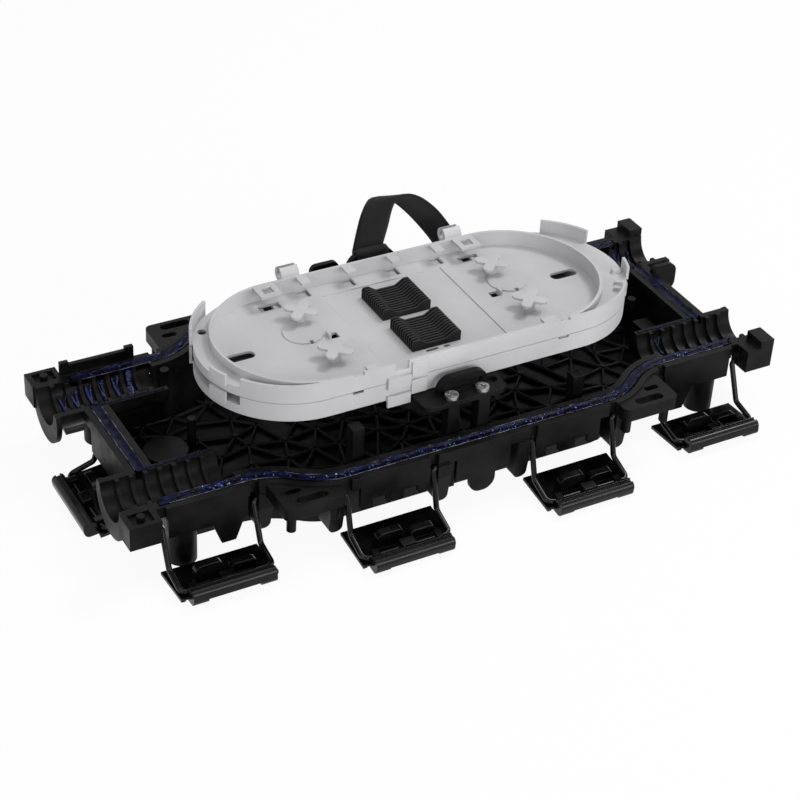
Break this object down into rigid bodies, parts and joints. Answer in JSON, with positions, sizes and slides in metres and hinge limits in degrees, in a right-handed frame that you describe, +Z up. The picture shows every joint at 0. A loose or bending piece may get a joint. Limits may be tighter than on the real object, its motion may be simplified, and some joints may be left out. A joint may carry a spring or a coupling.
{
  "type": "inline splice closure",
  "caption": "Opened lower half of an inline cable splice closure with half-round cable ports, a waisted sealing groove, stacked hinged splice trays and wire latches.",
  "frame": {"origin": "centre of the base on the plane that the feet stand on", "axes": "+X along the closure towards the right-hand ports, +Z up, -Y to the viewer's side"},
  "size_m": [0.4132, 0.2358, 0.1081],
  "materials": {
    "shell_plastic": "mottled satin",
    "lever_plastic": "satin",
    "mastic": "tacky gloss",
    "tray_plastic": "satin",
    "holder_plastic": "matt",
    "wire": "black",
    "screw_steel": "bright",
    "strap_fabric": "woven"
  },
  "bodies": {
    "base": {"base_shell": "shell_plastic", "sealing_mastic": "mastic", "lower_tray": "tray_plastic", "lower_front_splice_holder": "holder_plastic", "lower_rear_splice_holder": "holder_plastic", "front_tray_bracket": "shell_plastic", "rear_tray_bracket": "shell_plastic", "bracket_screws": "screw_steel", "tray_strap": "strap_fabric"},
    "upper_tray": {"upper_tray": "tray_plastic", "upper_front_splice_holder": "holder_plastic", "upper_rear_splice_holder": "holder_plastic"},
    "front_latch_bail_1": {"front_latch_bail_1": "wire"},
    "front_latch_lever_1": {"front_latch_lever_1": "lever_plastic"},
    "front_latch_bail_2": {"front_latch_bail_2": "wire"},
    "front_latch_lever_2": {"front_latch_lever_2": "lever_plastic"},
    "front_latch_bail_3": {"front_latch_bail_3": "wire"},
    "front_latch_lever_3": {"front_latch_lever_3": "lever_plastic"},
    "front_latch_bail_4": {"front_latch_bail_4": "wire"},
    "front_latch_lever_4": {"front_latch_lever_4": "lever_plastic"},
    "rear_latch_bail_1": {"rear_latch_bail_1": "wire"},
    "rear_latch_lever_1": {"rear_latch_lever_1": "lever_plastic"},
    "rear_latch_bail_2": {"rear_latch_bail_2": "wire"},
    "rear_latch_lever_2": {"rear_latch_lever_2": "lever_plastic"},
    "rear_latch_bail_3": {"rear_latch_bail_3": "wire"},
    "rear_latch_lever_3": {"rear_latch_lever_3": "lever_plastic"},
    "rear_latch_bail_4": {"rear_latch_bail_4": "wire"},
    "rear_latch_lever_4": {"rear_latch_lever_4": "lever_plastic"},
    "left_end_latch_bail": {"left_end_latch_bail": "wire"},
    "left_end_latch_lever": {"left_end_latch_lever": "lever_plastic"},
    "right_end_latch_bail": {"right_end_latch_bail": "wire"},
    "right_end_latch_lever": {"right_end_latch_lever": "lever_plastic"}
  },
  "joints": [
    {"name": "upper_tray_hinge", "type": "hinge", "parent": "base", "child": "upper_tray", "pos_m": [0, 0.0502, 0.0745], "axis": [-1, 0, 0], "range_deg": [0, 70]},
    {"name": "front_latch_bail_1_pivot", "type": "hinge", "parent": "base", "child": "front_latch_bail_1", "pos_m": [-0.154, -0.0665, 0.031], "axis": [-1, 0, 0], "range_deg": [0, 110]},
    {"name": "front_latch_lever_1_pivot", "type": "hinge", "parent": "front_latch_bail_1", "child": "front_latch_lever_1", "pos_m": [-0.154, -0.09153, 0.00558], "axis": [-1, 0, 0], "range_deg": [0, 120]},
    {"name": "front_latch_bail_2_pivot", "type": "hinge", "parent": "base", "child": "front_latch_bail_2", "pos_m": [-0.057, -0.0855, 0.0335], "axis": [-1, 0, 0], "range_deg": [0, 110]},
    {"name": "front_latch_lever_2_pivot", "type": "hinge", "parent": "front_latch_bail_2", "child": "front_latch_lever_2", "pos_m": [-0.057, -0.10724, 0.00522], "axis": [-1, 0, 0], "range_deg": [0, 120]},
    {"name": "front_latch_bail_3_pivot", "type": "hinge", "parent": "base", "child": "front_latch_bail_3", "pos_m": [0.057, -0.0855, 0.0335], "axis": [-1, 0, 0], "range_deg": [0, 110]},
    {"name": "front_latch_lever_3_pivot", "type": "hinge", "parent": "front_latch_bail_3", "child": "front_latch_lever_3", "pos_m": [0.057, -0.10724, 0.00522], "axis": [-1, 0, 0], "range_deg": [0, 120]},
    {"name": "front_latch_bail_4_pivot", "type": "hinge", "parent": "base", "child": "front_latch_bail_4", "pos_m": [0.154, -0.0665, 0.031], "axis": [-1, 0, 0], "range_deg": [0, 110]},
    {"name": "front_latch_lever_4_pivot", "type": "hinge", "parent": "front_latch_bail_4", "child": "front_latch_lever_4", "pos_m": [0.154, -0.09153, 0.00558], "axis": [-1, 0, 0], "range_deg": [0, 120]},
    {"name": "rear_latch_bail_1_pivot", "type": "hinge", "parent": "base", "child": "rear_latch_bail_1", "pos_m": [0.154, 0.0665, 0.031], "axis": [1, 0, 0], "range_deg": [0, 110]},
    {"name": "rear_latch_lever_1_pivot", "type": "hinge", "parent": "rear_latch_bail_1", "child": "rear_latch_lever_1", "pos_m": [0.154, 0.09153, 0.00558], "axis": [1, 0, 0], "range_deg": [0, 120]},
    {"name": "rear_latch_bail_2_pivot", "type": "hinge", "parent": "base", "child": "rear_latch_bail_2", "pos_m": [0.057, 0.0855, 0.0335], "axis": [1, 0, 0], "range_deg": [0, 110]},
    {"name": "rear_latch_lever_2_pivot", "type": "hinge", "parent": "rear_latch_bail_2", "child": "rear_latch_lever_2", "pos_m": [0.057, 0.10724, 0.00522], "axis": [1, 0, 0], "range_deg": [0, 120]},
    {"name": "rear_latch_bail_3_pivot", "type": "hinge", "parent": "base", "child": "rear_latch_bail_3", "pos_m": [-0.057, 0.0855, 0.0335], "axis": [1, 0, 0], "range_deg": [0, 110]},
    {"name": "rear_latch_lever_3_pivot", "type": "hinge", "parent": "rear_latch_bail_3", "child": "rear_latch_lever_3", "pos_m": [-0.057, 0.10724, 0.00522], "axis": [1, 0, 0], "range_deg": [0, 120]},
    {"name": "rear_latch_bail_4_pivot", "type": "hinge", "parent": "base", "child": "rear_latch_bail_4", "pos_m": [-0.154, 0.0665, 0.031], "axis": [1, 0, 0], "range_deg": [0, 110]},
    {"name": "rear_latch_lever_4_pivot", "type": "hinge", "parent": "rear_latch_bail_4", "child": "rear_latch_lever_4", "pos_m": [-0.154, 0.09153, 0.00558], "axis": [1, 0, 0], "range_deg": [0, 120]},
    {"name": "left_end_latch_bail_pivot", "type": "hinge", "parent": "base", "child": "left_end_latch_bail", "pos_m": [-0.1742, 0, 0.0335], "axis": [0, 1, 0], "range_deg": [0, 75]},
    {"name": "left_end_latch_lever_pivot", "type": "hinge", "parent": "left_end_latch_bail", "child": "left_end_latch_lever", "pos_m": [-0.19594, 0, 0.00522], "axis": [0, 1, 0], "range_deg": [0, 95]},
    {"name": "right_end_latch_bail_pivot", "type": "hinge", "parent": "base", "child": "right_end_latch_bail", "pos_m": [0.1742, 0, 0.0335], "axis": [0, -1, 0], "range_deg": [0, 75]},
    {"name": "right_end_latch_lever_pivot", "type": "hinge", "parent": "right_end_latch_bail", "child": "right_end_latch_lever", "pos_m": [0.19594, 0, 0.00522], "axis": [0, -1, 0], "range_deg": [0, 95]}
  ]
}
